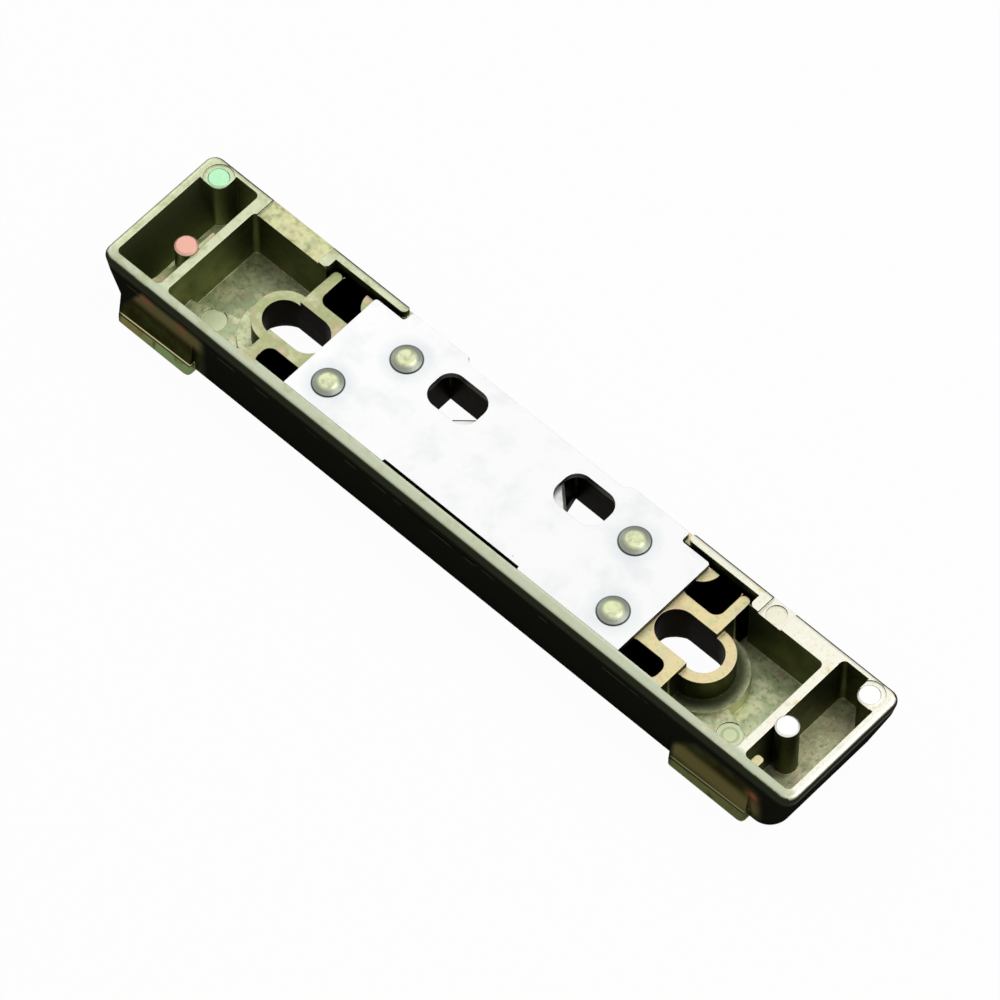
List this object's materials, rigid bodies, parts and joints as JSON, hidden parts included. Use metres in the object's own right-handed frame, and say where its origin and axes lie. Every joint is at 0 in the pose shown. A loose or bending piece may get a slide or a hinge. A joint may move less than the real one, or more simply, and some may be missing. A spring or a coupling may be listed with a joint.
{
  "type": "window catch",
  "caption": "Slim die-cast housing with a riveted steel back plate; sprung claws in its windows grip a strike and are pushed back by a side slide.",
  "frame": {"origin": "on the front face's plane, under the middle of the outer box", "axes": "+X along the catch, +Y towards the side with the slide's mouth, +Z from the front face to the open back"},
  "size_m": [0.1236, 0.0232, 0.0122],
  "materials": {
    "casting": "die-cast zinc with iridescent yellow passivation, near black outside",
    "plate": "bright galvanised sheet steel",
    "claw": "bright zinc-plated stamped steel",
    "pin": "ground steel",
    "spring": "spring steel wire",
    "slide": "zinc-plated steel"
  },
  "bodies": {
    "housing": {"housing_casting": "casting", "back_plate": "plate", "claw_pin_left": "pin", "claw_pin_right": "pin", "claw_spring_left": "spring", "claw_spring_right": "spring", "slide_spring": "spring"},
    "slide": {"release_slide": "slide"},
    "left_claw": {"claw_left": "claw"},
    "right_claw": {"claw_right": "claw"}
  },
  "joints": [
    {"name": "release_slide_travel", "type": "slide", "parent": "housing", "child": "slide", "axis": [0, -1, 0], "range_m": [0, 0.0023], "stiffness_N_per_m": 400, "springref_m": -0.006, "deforming": ["slide_spring"]},
    {"name": "claw_left_turn", "type": "hinge", "parent": "housing", "child": "left_claw", "pos_m": [-0.017, -0.00298, 0.0092], "axis": [0, 0, -1], "range_deg": [0, 12.7], "stiffness_Nm_per_rad": 0.02, "springref_deg": -20.05, "deforming": ["claw_spring_left"]},
    {"name": "claw_right_turn", "type": "hinge", "parent": "housing", "child": "right_claw", "pos_m": [0.017, -0.00298, 0.0092], "axis": [0, 0, 1], "range_deg": [0, 12.7], "stiffness_Nm_per_rad": 0.02, "springref_deg": -20.05, "deforming": ["claw_spring_right"]}
  ],
  "couplings": [
    {"joint": "claw_left_turn", "follows": "release_slide_travel", "rad_per_m": 96.3},
    {"joint": "claw_right_turn", "follows": "release_slide_travel", "rad_per_m": 96.3}
  ]
}
